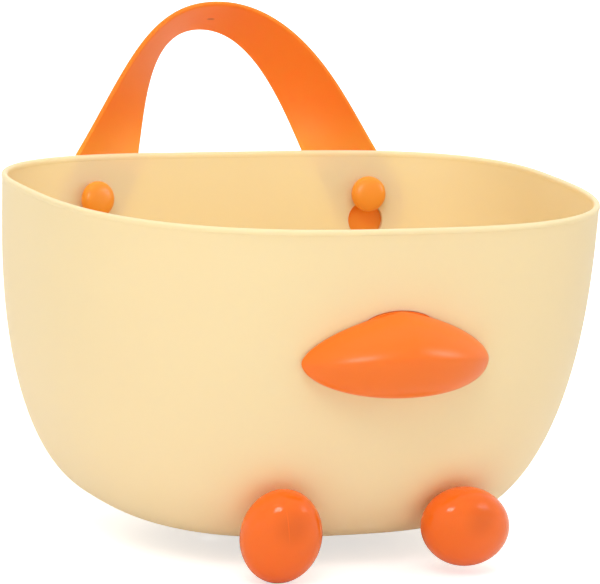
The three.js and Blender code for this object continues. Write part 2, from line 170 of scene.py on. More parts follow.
# One outline per row: a front superellipse, then a back made of two superellipse corners and a flat
def tubRings(share, grow, drop, frontCount=150, cornerCount=60, flatCount=14):
    half, front, back, flat = (value[:, None] for value in planAt(share, grow))
    turn = np.linspace(0, np.pi, frontCount, endpoint=False)
    across = np.sign(np.cos(turn)) * np.abs(np.cos(turn)) ** (2 / tub["frontPower"])
    frontX = -half * across
    frontY = -front * np.sin(turn) ** (2 / tub["frontPower"])
    turn = np.linspace(0, np.pi / 2, cornerCount)
    cornerX = flat + (half - flat) * np.clip(np.cos(turn), 0, 1) ** (2 / tub["backPower"])
    cornerX[:, -1] = flat[:, 0]
    cornerY = back * np.sin(turn) ** (2 / tub["backPower"])
    level = np.linspace(1, -1, flatCount + 1)[1:-1]
    x = np.hstack([frontX, cornerX, flat * level, -cornerX[:, :0:-1]])
    y = np.hstack([frontY, cornerY, back * np.ones(len(level)), cornerY[:, :0:-1]])
    return np.stack([x, y, np.broadcast_to(-drop[:, None], x.shape)], -1)


# Outer face of the front wall: y on the front superellipse at a given x and drop
def frontWall(x, drop):
    half, front = planAt(drop / tub["height"], 0)[:2]
    across = np.minimum(np.abs(x / half), 1)
    return -front * (1 - across ** tub["frontPower"]) ** (1 / tub["frontPower"])


# Outer face of the back wall: y on its flat or on a corner's superellipse
def backWall(x, drop):
    half, _, back, flat = planAt(drop / tub["height"], 0)
    past = np.clip((np.abs(x) - flat) / (half - flat), 0, 1)
    return back * (1 - past ** tub["backPower"]) ** (1 / tub["backPower"])


stud = dict(
    spread=76.2, drop=21.9, travel=13.4, lobe=18.4, neck=9, head=18, headEdge=3.6, headDome=1.9,
    headGap=2.8, headRound=1.2, facePower=3, flange=15, flangeThickness=1.8, flangeRound=0.5,
)


# Across the wall, up along it, into the tub, and the point on the wall's outer face
def studAxes(side):
    step = stud["neck"] / 2
    spread, drop = stud["spread"], stud["drop"]
    turnFall = backWall(spread - step, drop) - backWall(spread + step, drop)
    tiltFall = backWall(spread, drop - step) - backWall(spread, drop + step)
    turn = side * np.arctan2(turnFall, 2 * step)
    tilt = np.arctan2(tiltFall, 2 * step)
    sideways = np.array([np.cos(turn), -np.sin(turn), 0])
    level = np.array([-np.sin(turn), -np.cos(turn), 0])
    inward = np.cos(tilt) * level + np.sin(tilt) * upward
    upWall = np.cos(tilt) * upward - np.sin(tilt) * level
    return np.array([side * spread, backWall(spread, drop), -drop]), sideways, upWall, inward


# Keyhole: a slot with a round top that opens down into a round lobe
def keyholeCutter(side, lobeSteps=64, slotSteps=32):
    slot = stud["neck"] / 2 + runningGap
    lobe = stud["lobe"] / 2
    join = np.arcsin(slot / lobe)
    sweep = np.linspace(np.pi / 2 + join, 2.5 * np.pi - join, lobeSteps)
    lobeLoop = np.stack([lobe * np.cos(sweep), lobe * np.sin(sweep) - stud["travel"]], -1)
    sweep = np.linspace(0, np.pi, slotSteps)
    slotLoop = np.stack([slot * np.cos(sweep), slot * np.sin(sweep)], -1)
    outline = np.vstack([lobeLoop, slotLoop])
    return prism(outline, -cutOverrun, tub["wall"] + cutOverrun, *studAxes(side))


beak = dict(
    halfWidth=49.1, topDrop=39.5, tipDrop=63.4, bottomDrop=79,
    tipReach=1.5, centreReach=12.2, topReach=0.8, bulge=10.9, wallGap=0.8,
    topPower=1.33, slopePower=0.6, bottomPower=2.1, sidePower=1.8,
    tipWallShare=2.5, topWallShare=1.5, wall=2,
    neckHalfWidth=19.7, neckHalfHeight=8.7, neckRoot=1.6,
    beadProud=1.2, beadLength=2, beadGap=1.2, beadRound=0.5,
)


# An oval carried along y: each station gives its half width, its half height and its y
def ovalLoft(stations, steps=120):
    turn = np.linspace(0, 2 * np.pi, steps, endpoint=False)
    across, high, y = (column[:, None] for column in np.array(stations, float).T)
    middle = -(beak["topDrop"] + beak["neckHalfHeight"])
    rings = np.stack([across * np.cos(turn), y + 0 * turn, middle + high * np.sin(turn)], -1)
    return closedSkin(rings, [0, y[0, 0], middle], [0, y[-1, 0], middle])


# An oval bar for the beak's hole and bore
def ovalPrism(halfAcross, halfHigh, fromY, toY):
    return ovalLoft([(halfAcross, halfHigh, toY), (halfAcross, halfHigh, fromY)])


foot = dict(
    long=50.5, short=40, thick=27, wall=2, spread=47.8, rise=16.6, tilt=20, yaw=5, standOff=1.8,
    spinLeft=101, spinRight=-27, facePower=2.16,
    peg=10, bore=5.4, beadProud=1.3, tip=4, slit=1.4,
)


# A foot's centre, its long axis, the peg's axis outwards and its short axis
def footAxes(side, spin):
    yaw, tilt, spin = np.radians([side * foot["yaw"], foot["tilt"], spin])
    outward = np.array([np.sin(yaw) * np.cos(tilt), -np.cos(yaw) * np.cos(tilt), -np.sin(tilt)])
    level = np.array([np.cos(yaw), np.sin(yaw), 0])
    longWay = level * np.cos(spin) + np.cross(outward, level) * np.sin(spin)
    drop = tub["height"] - foot["rise"]
    wallPoint = np.array([side * foot["spread"], frontWall(foot["spread"], drop), -drop])
    centre = wallPoint + outward * (foot["thick"] / 2 + foot["standOff"])
    return centre, longWay, outward, np.cross(longWay, outward)


# Rings up the outer wall, round the lip and down to the floor inside, then every hole is cut
def makeTub(wallRows=64, runOutRows=6, lipRows=17, drainSteps=40):
    lipTall = tub["wall"] / 2 + tub["lipProud"]
    lipHalf = (tub["wall"] + tub["lipProud"] + tub["lipInside"]) / 2
    lipEnd = tub["lipHeight"] + tub["lipRunOut"]
    floor = tub["height"] - tub["base"]
    share = np.sin(np.pi / 2 * np.linspace(1, 0, wallRows))
    outer = lipEnd + (tub["height"] - lipEnd) * share
    runShare = np.linspace(0, 1, runOutRows)[1:-1]
    run = 0.5 - 0.5 * np.cos(np.pi * runShare)
    runDrop = lipEnd - tub["lipRunOut"] * runShare
    turn = np.linspace(0, np.pi, lipRows)
    lipDrop = lipTall * (1 - np.sin(turn))
    lipGrow = tub["lipProud"] - lipHalf * (1 - np.cos(turn))
    inner = lipEnd + (floor - lipEnd) * share[::-1]
    lipFoot = [tub["lipHeight"]]
    drop = np.concatenate([outer, runDrop, lipFoot, lipDrop, lipFoot, runDrop[::-1]])
    grow = np.concatenate([
        np.zeros(len(outer)), tub["lipProud"] * run, [tub["lipProud"]], lipGrow,
        [-tub["wall"] - tub["lipInside"]], -tub["wall"] - tub["lipInside"] * run[::-1]])
    outside = tubRings(drop / tub["height"], grow, drop)
    inside = tubRings(inner / floor, np.full(len(inner), -tub["wall"]), inner)
    rings = np.concatenate([outside, inside])
    shell = makePiece("tub_shell", closedSkin(rings, [0, 0, -tub["height"]], [0, 0, -floor]))

    cutters = [keyholeCutter(-1), keyholeCutter(1)]
    wallY = frontWall(0, beak["topDrop"])
    cutters.append(ovalPrism(
        beak["neckHalfWidth"] + runningGap, beak["neckHalfHeight"] + runningGap,
        wallY - cutOverrun, wallY + tub["wall"] + cutOverrun))
    radius = foot["peg"] / 2 + runningGap
    reach = foot["thick"] + cutOverrun
    for side in (-1, 1):
        centre, longWay, outward = footAxes(side, 0)[:3]
        cutters.append(rod(radius, -reach, reach, centre, longWay, outward))
    front, back = planAt(1.0, 0)[1:3]
    radius, pitch = tub["drainDiameter"] / 2, tub["drainPitch"]
    columns = (np.arange(tub["drainColumns"]) - (tub["drainColumns"] - 1) / 2) * pitch
    rows = (back - front) / 2 + (np.arange(tub["drainRows"]) - (tub["drainRows"] - 1) / 2) * pitch
    for y in rows:
        for x in columns:
            centre = np.array([x, y, -tub["height"]])
            cutters.append(rod(radius, -cutOverrun, cutOverrun, centre, rightward, upward, drainSteps))
    return smooth(combine(shell, "DIFFERENCE", *cutters))


strap = dict(
    thickness=2.6, wallGap=0.75, footDrop=14, endDrop=47, endSpread=79, endReach=16, tabReach=11,
    outerRise=72.15, outerCrownReach=50, outerLegReach=43.4, outerSpread=93.5, outerLegAngle=38.7,
    outerLean=20.2, outerLeanPower=3,
    innerRise=55.6, innerCrownReach=35.9, innerLegReach=20.3, innerSpread=50.6, innerLegAngle=28.8,
    innerLean=41.2, innerLeanPower=1.1,
)


# Cubic Bezier curve: its four points weighted by the powers of t and of one minus t
def bezier(t, a, b, c, d):
    t = t[..., None]
    return (1 - t) ** 3 * a + 3 * (1 - t) ** 2 * t * b + 3 * (1 - t) * t ** 2 * c + t ** 3 * d


# One edge of the strap in x and z: a Bezier curve from crown to foot, then one round the tab
def strapEdge(along, which, tabSide):
    angle = np.radians(strap[which + "LegAngle"])
    heading = np.array([np.sin(angle), -np.cos(angle)])
    legFoot = np.array([strap[which + "Spread"], -strap["footDrop"]])
    end = np.array([strap["endSpread"], -strap["endDrop"]])
    crown = np.array([0, strap[which + "Rise"]])
    crownReach = np.array([strap[which + "CrownReach"], 0])
    legReach = heading * strap[which + "LegReach"]
    leg = bezier(np.clip(along, 0, 1), crown, crown + crownReach, legFoot - legReach, legFoot)
    sweep = np.array([tabSide * strap["endReach"], 0])
    tabReach = heading * strap["tabReach"]
    tab = bezier(np.clip(along - 1, 0, 1), legFoot, legFoot + tabReach, end + sweep, end)
    return np.where(along[..., None] < 1, leg, tab)


# Middle of the strap: along is -2 to 2 from tab to tab, across is -1 inner edge to 1 outer edge
def strapMiddle(along, across):
    outer = strapEdge(np.abs(along), "outer", 1)
    inner = strapEdge(np.abs(along), "inner", -1)
    share = (across[..., None] + 1) / 2
    x, z = np.moveaxis(inner + (outer - inner) * share, -1, 0)

    # Lean away from the wall: a power of the height above the foot
    def lean(edge, which):
        rise = strap[which + "Rise"] + strap["footDrop"]
        height = np.clip((edge[..., 1] + strap["footDrop"]) / rise, 0, 1)
        return strap[which + "Lean"] * height ** strap[which + "LeanPower"]

    innerLean = lean(inner, "inner")
    outerLean = lean(outer, "outer")
    against = backWall(x, np.maximum(-z, 0)) + strap["wallGap"] + strap["thickness"] / 2
    y = against + innerLean + (outerLean - innerLean) * share[..., 0]
    return np.stack([np.sign(along) * x, y, z], -1)


# Rings across the band: two faces half a thickness off the middle, joined by half-round edges
def makeStrap(edgeSteps=10, faceSteps=24, legSteps=110, tabSteps=40, slopeStep=0.004):
    turn = np.linspace(-np.pi / 2, np.pi / 2, edgeSteps, endpoint=False)
    level = np.linspace(1, -1, faceSteps, endpoint=False)
    tabHalf = 1 + np.sin(np.pi / 2 * np.arange(1, tabSteps) / tabSteps)
    along = np.concatenate([-tabHalf[::-1], np.linspace(-1, 1, 2 * legSteps + 1), tabHalf])
    ones = np.ones_like(along)
    width = np.linalg.norm(strapMiddle(along, ones) - strapMiddle(along, -ones), axis=-1)
    edgeShare = np.minimum(strap["thickness"] / width, 1)[:, None]
    edge = 1 - edgeShare + edgeShare * np.cos(turn)
    face = (1 - edgeShare) * level
    across = np.hstack([edge, face, -edge, -face])
    lift = np.hstack([np.sin(turn), np.ones(faceSteps), -np.sin(turn), -np.ones(faceSteps)])
    alongGrid = np.broadcast_to(along[:, None], across.shape)
    lastAlong = 2 - 4 * slopeStep  # the slope is taken just short of the pointed ends
    a = np.clip(alongGrid, -lastAlong, lastAlong)
    b = np.clip(across, -1 + slopeStep, 1 - slopeStep)
    run = strapMiddle(a + slopeStep, b) - strapMiddle(a - slopeStep, b)
    rise = strapMiddle(a, b + slopeStep) - strapMiddle(a, b - slopeStep)
    normal = np.cross(run, rise)
    normal /= np.linalg.norm(normal, axis=-1, keepdims=True)
    rings = strapMiddle(alongGrid, across) + normal * lift[None, :, None] * strap["thickness"] / 2
    ends = strapMiddle(np.array([-2.0, 2.0]), np.array([0.0, 0.0]))
    band = makePiece("strap_band", closedSkin(rings, *ends))
    radius = stud["neck"] / 2 + runningGap
    holes = []
    for side in (-1, 1):
        centre, sideways, _, inward = studAxes(side)
        holes.append(rod(radius, -cutOverrun, cutOverrun, centre, sideways, inward))
    return smooth(combine(band, "DIFFERENCE", *holes))


# A quarter round of a profile: radius and height plus the cosine and sine of the turn
def roundedCorner(radius, height, corner, turnFrom, turnTo, steps=6):
    turn = np.radians(np.linspace(turnFrom, turnTo, steps))
    return np.stack([radius + corner * np.cos(turn), height + corner * np.sin(turn)], -1)


# Stud profile: flange behind the strap, neck, then a head with a rounded edge and a low dome
def makeStud(side, name, domeSteps=30, turnSteps=96):
    centre, sideways, _, inward = studAxes(side)
    headBack = tub["wall"] + stud["headGap"]
    head = stud["head"] / 2
    flangeFront = -(strap["wallGap"] + strap["thickness"] + runningGap)
    flangeBack = flangeFront - stud["flangeThickness"]
    flange = stud["flange"] / 2
    neck = stud["neck"] / 2
    small = stud["flangeRound"]
    large = stud["headRound"]
    turn = np.linspace(0, np.pi / 2, domeSteps)
    domeTop = headBack + stud["headEdge"] + stud["headDome"]
    domeFoot = headBack + large
    power = 2 / stud["facePower"]
    domeRadius = head * np.clip(np.cos(turn), 0, 1) ** power
    dome = np.stack([domeRadius, domeFoot + (domeTop - domeFoot) * np.sin(turn) ** power], -1)
    profile = np.vstack([
        [(0, flangeBack)],
        roundedCorner(flange - small, flangeBack + small, small, -90, 0),
        roundedCorner(flange - small, flangeFront - small, small, 0, 90),
        [(neck, flangeFront), (neck, headBack)],
        roundedCorner(head - large, headBack + large, large, -90, 0)[:-1],
        dome])
    return smooth(makePiece(name, turned(profile, centre, sideways, inward, turnSteps)))


# Superellipse fall from 1 in the middle to 0 at the end
def roundFall(share, power):
    return (1 - share ** power) ** (1 / power)


# Beak sections at constant x: an oval that bulges forward, its upper half sloping back to the wall
def beakSkin(inset, stations, steps):
    half = beak["halfWidth"] - inset * beak["tipWallShare"]
    x = (half * np.cos(np.pi * np.arange(1, stations) / stations))[:, None]
    share = np.abs(x) / half
    outerShare = np.abs(x) / beak["halfWidth"]
    tip = beak["tipDrop"]
    topRise = tip - beak["topDrop"] - inset * beak["topWallShare"]
    top = -tip + topRise * (1 - share ** beak["topPower"]) ** beak["slopePower"]
    bottom = -tip - (beak["bottomDrop"] - tip - inset) * roundFall(share, beak["bottomPower"])
    outerFall = roundFall(outerShare, beak["sidePower"])
    tipReach, topReach = beak["tipReach"], beak["topReach"]
    centre = tipReach + (beak["centreReach"] - tipReach) * outerFall
    innerBulge = (beak["bulge"] - inset) * roundFall(share, beak["sidePower"])
    bulge = np.minimum(beak["bulge"] * outerFall - inset, innerBulge)
    upperReach = np.minimum(centre, topReach + (tipReach - topReach) * outerShare ** 2)
    high = (top - bottom) / 2
    turn = np.linspace(0, 2 * np.pi, steps, endpoint=False)
    z = (top + bottom) / 2 + high * np.sin(turn)
    slope = np.clip(np.sin(turn), 0, 1) ** 2 * (centre - upperReach)
    closest = beak["wallGap"] + inset
    y = frontWall(x, -z) - np.maximum(closest, centre + bulge * np.cos(turn) - slope)
    rings = np.stack([np.broadcast_to(x, y.shape), y, z], -1)
    endFall = roundFall(half / beak["halfWidth"], beak["sidePower"])
    endReach = np.maximum(closest, tipReach + (beak["centreReach"] - tipReach) * endFall)
    endY = frontWall(half, tip) - endReach
    return closedSkin(rings, [half, endY, -tip], [-half, endY, -tip])


# The skin and its neck with a snap bead, less a smaller skin inside and a bore through the neck
def makeBeak(outerSteps=(150, 120), innerSteps=(90, 80)):
    wallY = frontWall(0, beak["topDrop"] + beak["neckHalfHeight"])
    beadStart = wallY + tub["wall"] + beak["beadGap"]
    neckEnd = beadStart + beak["beadLength"]
    neckRoot = wallY - beak["neckRoot"]
    wide, high, proud = beak["neckHalfWidth"], beak["neckHalfHeight"], beak["beadProud"]
    wall, corner = beak["wall"], beak["beadRound"]
    shell = makePiece("beak_shell", beakSkin(0, *outerSteps))
    combine(shell, "UNION", ovalLoft([
        (wide + proud - corner, high + proud - corner, neckEnd),
        (wide + proud, high + proud, neckEnd - corner),
        (wide + proud, high + proud, beadStart),
        (wide, high, beadStart),
        (wide, high, neckRoot)]))
    combine(shell, "DIFFERENCE", beakSkin(wall, *innerSteps))
    bore = ovalPrism(wide - wall, high - wall, neckRoot - wall, neckEnd + cutOverrun)
    return smooth(combine(shell, "DIFFERENCE", bore))


# A pebble on three half-axes: round in its face, a superellipse through its thickness
def pebble(side, spin, inset, riseSteps, turnSteps):
    centre, longWay, outward, shortWay = footAxes(side, spin)
    rise = np.linspace(0, np.pi, riseSteps + 1)[1:-1, None]
    turn = np.linspace(0, 2 * np.pi, turnSteps, endpoint=False)
    power = 2 / foot["facePower"]
    ring = np.sin(rise) ** power
    along = np.sign(np.cos(rise)) * np.abs(np.cos(rise)) ** power
    halfLong, halfThick, halfShort = (foot[key] / 2 - inset for key in ("long", "thick", "short"))
    rings = (centre + (halfLong * ring * np.cos(turn))[..., None] * longWay
             + (halfShort * ring * np.sin(turn))[..., None] * shortWay
             + (halfThick * along * np.ones_like(turn))[..., None] * outward)
    return closedSkin(rings, centre + halfThick * outward, centre - halfThick * outward)


# Way along the peg, below its axis by rim, to the first sample past the wall's inner superellipse
def pegWallDepth(rim, samples=4000):
    centre, _, outward, shortWay = footAxes(1, 0)
    floor = tub["height"] - tub["base"]
    way = np.linspace(0, foot["thick"], samples)[:, None]
    points = centre - outward * (foot["thick"] / 2 + foot["standOff"] + way) + shortWay * rim
    half, front = planAt(-points[:, 2] / floor, -tub["wall"])[:2]
    across = np.abs(points[:, 0] / half)
    wallY = -front * (1 - across ** tub["frontPower"]) ** (1 / tub["frontPower"])
    return way[np.argmax(points[:, 1] >= wallY), 0]


# A hollow pebble with a peg whose bead is past the wall; a bore and crossed slits let it snap in
def makeFoot(side, spin, name, outerSteps=(96, 144), hollowSteps=(48, 72), boreSteps=48):
    centre, longWay, outward, shortWay = footAxes(side, spin)
    wallFace = -(foot["thick"] / 2 + foot["standOff"])
    radius = foot["peg"] / 2
    bead = radius + foot["beadProud"]
    beadFace = wallFace - pegWallDepth(bead) - runningGap
    tip = beadFace - foot["beadProud"] - foot["tip"]
    root = -foot["thick"] / 2 + foot["wall"]
    profile = [
        (0, tip), (radius - foot["beadProud"], tip), (bead, beadFace - foot["beadProud"]),
        (bead, beadFace - foot["beadProud"] / 2), (radius, beadFace), (radius, root), (0, root)]
    body = makePiece(name, pebble(side, spin, 0, *outerSteps))
    combine(body, "UNION", turned(profile, centre, longWay, outward))
    combine(body, "DIFFERENCE", pebble(side, spin, foot["wall"], *hollowSteps))
    bore = rod(foot["bore"] / 2, tip - foot["wall"], 0, centre, longWay, outward, boreSteps)
    combine(body, "DIFFERENCE", bore)
    halfSlit = foot["slit"] / 2
    halfLong = bead + runningGap
    loop = np.array([
        (-halfSlit, -halfLong), (halfSlit, -halfLong), (halfSlit, halfLong), (-halfSlit, halfLong)])
    slitEnds = tip - cutOverrun / 2, wallFace - cutOverrun / 2
    for thinWay in (longWay, shortWay):
        slit = prism(loop, *slitEnds, centre, thinWay, np.cross(outward, thinWay), outward)
        combine(body, "DIFFERENCE", slit)
    return smooth(body)


# Bleed is how far red, green and blue light spread, as shares of the scatter's scale in metres
orangeBleed = (1.0, 0.55, 0.3)
plastics = dict(
    cream=dict(
        color=(0.925, 0.725, 0.43), roughness=0.46, shine=0.4,
        scatter=0.5, scatterScale=0.0075, bleed=(0.8, 0.74, 0.5), grain=0.04),
    # The strap's paler colour towards its lower ends is painted bounce light off the cream tub
    strap=dict(
        color=(1.0, 0.24, 0.022), bounceLitColor=(1.0, 0.38, 0.045), bounceLitBelow=(26, -12),
        roughness=0.46, shine=0.2, scatter=0.8, scatterScale=0.008, bleed=orangeBleed, grain=0.1),
    stud=dict(
        color=(1.0, 0.345, 0.032), roughness=0.3, shine=0.35,
        scatter=0.3, scatterScale=0.004, bleed=orangeBleed, grain=0.04),
    beak=dict(
        color=(1.0, 0.19, 0.012), roughness=0.32, shine=0.4,
        scatter=0.3, scatterScale=0.004, bleed=orangeBleed, grain=0.04),
    foot=dict(
        color=(1.0, 0.165, 0.01), roughness=0.13, shine=0.35,
        scatter=0.25, scatterScale=0.004, bleed=orangeBleed, grain=0.02),
)
# Pigment and surface that all the plastics share: drift across a piece, and fine grain in metres
moulding = dict(
    driftScale=9, driftDetail=3, palest=1.02, darkest=0.975, roughnessDrift=0.04,
    grainScale=2600, grainDetail=2, grainDepth=0.0002, refraction=1.46,
)


# An empty node tree and the function that adds a node with its settings
def nodeAdder(owner):
    owner.use_nodes = True
    tree = owner.node_tree
    tree.nodes.clear()

    def add(kind, **values):
        node = tree.nodes.new(kind)
        for key, value in values.items():
            setattr(node, key, value)
        return node

    return tree, add


# A mark or a painted shade in the pigment: its tone inside an ellipsoid on three axes, easing to none
# at the surface
def markOrShadeTone(tree, add, place, markOrShade):
    offset = add("ShaderNodeVectorMath", operation="SUBTRACT")
    offset.inputs[1].default_value = toWorld(markOrShade["centre"])
    tree.links.new(place.outputs["Object"], offset.inputs[0])
    shares = add("ShaderNodeCombineXYZ")
    for axis, reach, share in zip(markOrShade["axes"], markOrShade["reach"], shares.inputs):
        along = add("ShaderNodeVectorMath", operation="DOT_PRODUCT")
        along.inputs[1].default_value = axis / (reach * millimetre)
        tree.links.new(offset.outputs["Vector"], along.inputs[0])
        tree.links.new(along.outputs["Value"], share)
    distance = add("ShaderNodeVectorMath", operation="LENGTH")
    tree.links.new(shares.outputs["Vector"], distance.inputs[0])
    ease = add("ShaderNodeMapRange", interpolation_type="SMOOTHSTEP")
    ease.inputs["From Min"].default_value = markOrShade["core"]
    ease.inputs["To Min"].default_value = markOrShade["tone"]
    tree.links.new(distance.outputs["Value"], ease.inputs["Value"])
    return ease.outputs["Result"]


# Painted bounce light: a paler colour for the light off the cream tub, which comes in from the upper to
# the lower of two heights
def paintedBounceLight(tree, add, place, settings):
    heights = add("ShaderNodeSeparateXYZ")
    ease = add("ShaderNodeMapRange", interpolation_type="SMOOTHSTEP")
    ease.inputs["From Min"].default_value = toWorld([0, 0, settings["bounceLitBelow"][1]])[2]
    ease.inputs["From Max"].default_value = toWorld([0, 0, settings["bounceLitBelow"][0]])[2]
    ease.inputs["To Min"].default_value = 1
    ease.inputs["To Max"].default_value = 0
    blend = add("ShaderNodeMix", data_type="RGBA")
    blend.inputs["A"].default_value = (*settings["color"], 1)
    blend.inputs["B"].default_value = (*settings["bounceLitColor"], 1)
    tree.links.new(place.outputs["Object"], heights.inputs["Vector"])
    tree.links.new(heights.outputs["Z"], ease.inputs["Value"])
    tree.links.new(ease.outputs["Result"], blend.inputs["Factor"])
    return blend.outputs["Result"]


# Moulded plastic: pigment that drifts slightly, a fine satin grain, its moulding marks, the feet's
# painted shade and the strap's painted bounce light
def mouldedPlastic(name, settings, marksAndShade=()):
    material = bpy.data.materials.new(name)
    tree, add = nodeAdder(material)
    output = add("ShaderNodeOutputMaterial")
    shader = add("ShaderNodeBsdfPrincipled")
    place = add("ShaderNodeTexCoord")
    drift = add("ShaderNodeTexNoise")
    drift.inputs["Scale"].default_value = moulding["driftScale"]
    drift.inputs["Detail"].default_value = moulding["driftDetail"]
    tone = add("ShaderNodeMapRange")
    tone.inputs["To Min"].default_value = moulding["darkest"]
    tone.inputs["To Max"].default_value = moulding["palest"]
    tint = add("ShaderNodeHueSaturation")
    tint.inputs["Color"].default_value = (*settings["color"], 1)
    fine = add("ShaderNodeTexNoise")
    fine.inputs["Scale"].default_value = moulding["grainScale"]
    fine.inputs["Detail"].default_value = moulding["grainDetail"]
    gloss = add("ShaderNodeMapRange")
    gloss.inputs["To Min"].default_value = settings["roughness"] - moulding["roughnessDrift"]
    gloss.inputs["To Max"].default_value = settings["roughness"] + moulding["roughnessDrift"]
    grain = add("ShaderNodeBump")
    grain.inputs["Strength"].default_value = settings["grain"]
    grain.inputs["Distance"].default_value = moulding["grainDepth"]
    link = tree.links.new
    for texture in (drift, fine):
        link(place.outputs["Object"], texture.inputs["Vector"])
    link(drift.outputs["Fac"], tone.inputs["Value"])
    toned = tone.outputs["Result"]
    # Painted bounce light: paler towards the strap's lower ends
    if "bounceLitColor" in settings:
        link(paintedBounceLight(tree, add, place, settings), tint.inputs["Color"])
    for markOrShade in marksAndShade:
        product = add("ShaderNodeMath", operation="MULTIPLY")
        link(toned, product.inputs[0])
        link(markOrShadeTone(tree, add, place, markOrShade), product.inputs[1])
        toned = product.outputs["Value"]
    link(toned, tint.inputs["Value"])
    link(tint.outputs["Color"], shader.inputs["Base Color"])
    link(drift.outputs["Fac"], gloss.inputs["Value"])
    link(gloss.outputs["Result"], shader.inputs["Roughness"])
    link(fine.outputs["Fac"], grain.inputs["Height"])
    link(grain.outputs["Normal"], shader.inputs["Normal"])
    link(shader.outputs["BSDF"], output.inputs["Surface"])
    shader.inputs["Subsurface Weight"].default_value = settings["scatter"]
    shader.inputs["Subsurface Radius"].default_value = settings["bleed"]
    shader.inputs["Subsurface Scale"].default_value = settings["scatterScale"]
    shader.inputs["IOR"].default_value = moulding["refraction"]
    shader.inputs["Specular IOR Level"].default_value = settings["shine"]
    return material


def finishPiece(piece, body, node, material):
    piece.data.materials.clear()
    piece.data.materials.append(material)
    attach(piece, body)
    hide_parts(node)
    print("made", piece.name, len(piece.data.polygons), "faces")


# Reach is an ellipsoid's three half axes, and core the share of it that has the full tone
gateMark = dict(place=-0.09, span=0.05, aside=1.6, reach=(2.9, 1.4, 4), core=0.45, tone=0.6)
# paintedPegShade is painted shade: a darker patch on the foot's face, where the peg's shade falls
paintedPegShade = dict(outward=12, upward=12.5, reach=(13, 13, 13), core=0.1, tone=0.85)
partingLine = dict(outward=8, along=13, reach=(12, 14, 0.4), core=0.3, tone=1.14)


# A small oval on the front of the crown, where the strap was cut from its sprue
def strapMarks():
    places = gateMark["place"] + gateMark["span"] * np.array([-1, 0, 1])
    below, centre, above = strapMiddle(np.zeros(3), places)
    widthWay = (above - below) / np.linalg.norm(above - below)
    axes = (rightward, widthWay, np.cross(rightward, widthWay))
    return [dict(gateMark, centre=centre + gateMark["aside"] * rightward, axes=axes)]


# Painted shade of the peg behind the thin face, and a faint line where the two halves of the mould met
def footMarksAndShade(side, spin, lined):
    centre, longWay, outward, shortWay = footAxes(side, spin)
    downward = footAxes(side, 0)[3]
    axes = (longWay, outward, shortWay)
    # Painted shade: the darker patch sits above the middle of the face
    shade = centre + paintedPegShade["outward"] * outward - paintedPegShade["upward"] * downward
    line = centre + partingLine["outward"] * outward + partingLine["along"] * longWay
    marksAndShade = [dict(paintedPegShade, centre=shade, axes=axes), dict(partingLine, centre=line, axes=axes)]
    return marksAndShade if lined else marksAndShade[:1]


creamPlastic = mouldedPlastic("cream_plastic", plastics["cream"])
strapRubber = mouldedPlastic("strap_rubber", plastics["strap"], strapMarks())
studPlastic = mouldedPlastic("stud_plastic", plastics["stud"])
beakRubber = mouldedPlastic("beak_rubber", plastics["beak"])
spinLeft, spinRight = foot["spinLeft"], foot["spinRight"]
leftPlastic = mouldedPlastic("foot_left_plastic", plastics["foot"], footMarksAndShade(-1, spinLeft, True))
rightPlastic = mouldedPlastic("foot_right_plastic", plastics["foot"], footMarksAndShade(1, spinRight, False))
print("plastics mixed")

finishPiece(makeTub(), "basket", "tub", creamPlastic)
finishPiece(makeStrap(), "handle", "handle_strap", strapRubber)
finishPiece(makeStud(-1, "stud_left"), "handle", "handle_stud_left", studPlastic)
finishPiece(makeStud(1, "stud_right"), "handle", "handle_stud_right", studPlastic)
finishPiece(makeBeak(), "basket", "beak", beakRubber)
leftFoot = makeFoot(-1, spinLeft, "foot_left_pebble")
rightFoot = makeFoot(1, spinRight, "foot_right_pebble")
finishPiece(leftFoot, "left_foot", "foot_left", leftPlastic)
finishPiece(rightFoot, "right_foot", "foot_right", rightPlastic)

# In metres; each softbox stands on a sphere round the tub and lights its matt faces or its gloss
studio = dict(
    floorSize=14, floorColor=(0.9, 0.9, 0.9), floorLift=0.6, floorGleam=0.1,
    distance=2.2, ambient=0.56,
    softboxes=[
        dict(name="key", azimuth=-38, elevation=46, size=(1.0, 0.8), watts=11, lights="matt"),
        dict(name="key glint", azimuth=-21, elevation=24, size=(0.75, 0.55), watts=13, lights="gloss"),
        dict(name="side", azimuth=54, elevation=17.5, size=(0.65, 0.55), watts=2.5, lights="matt"),
        dict(name="side glint", azimuth=54, elevation=17.5, size=(0.65, 0.55), watts=9, lights="gloss"),
        dict(name="top", azimuth=0, elevation=80, size=(1.4, 1.2), watts=19, lights="matt"),
        dict(name="low", azimuth=-58, elevation=4, size=(2.4, 0.5), watts=3.5, lights="matt"),
        dict(name="back", azimuth=180, elevation=18, size=(1.6, 0.8), watts=15, lights="matt"),
    ],
)


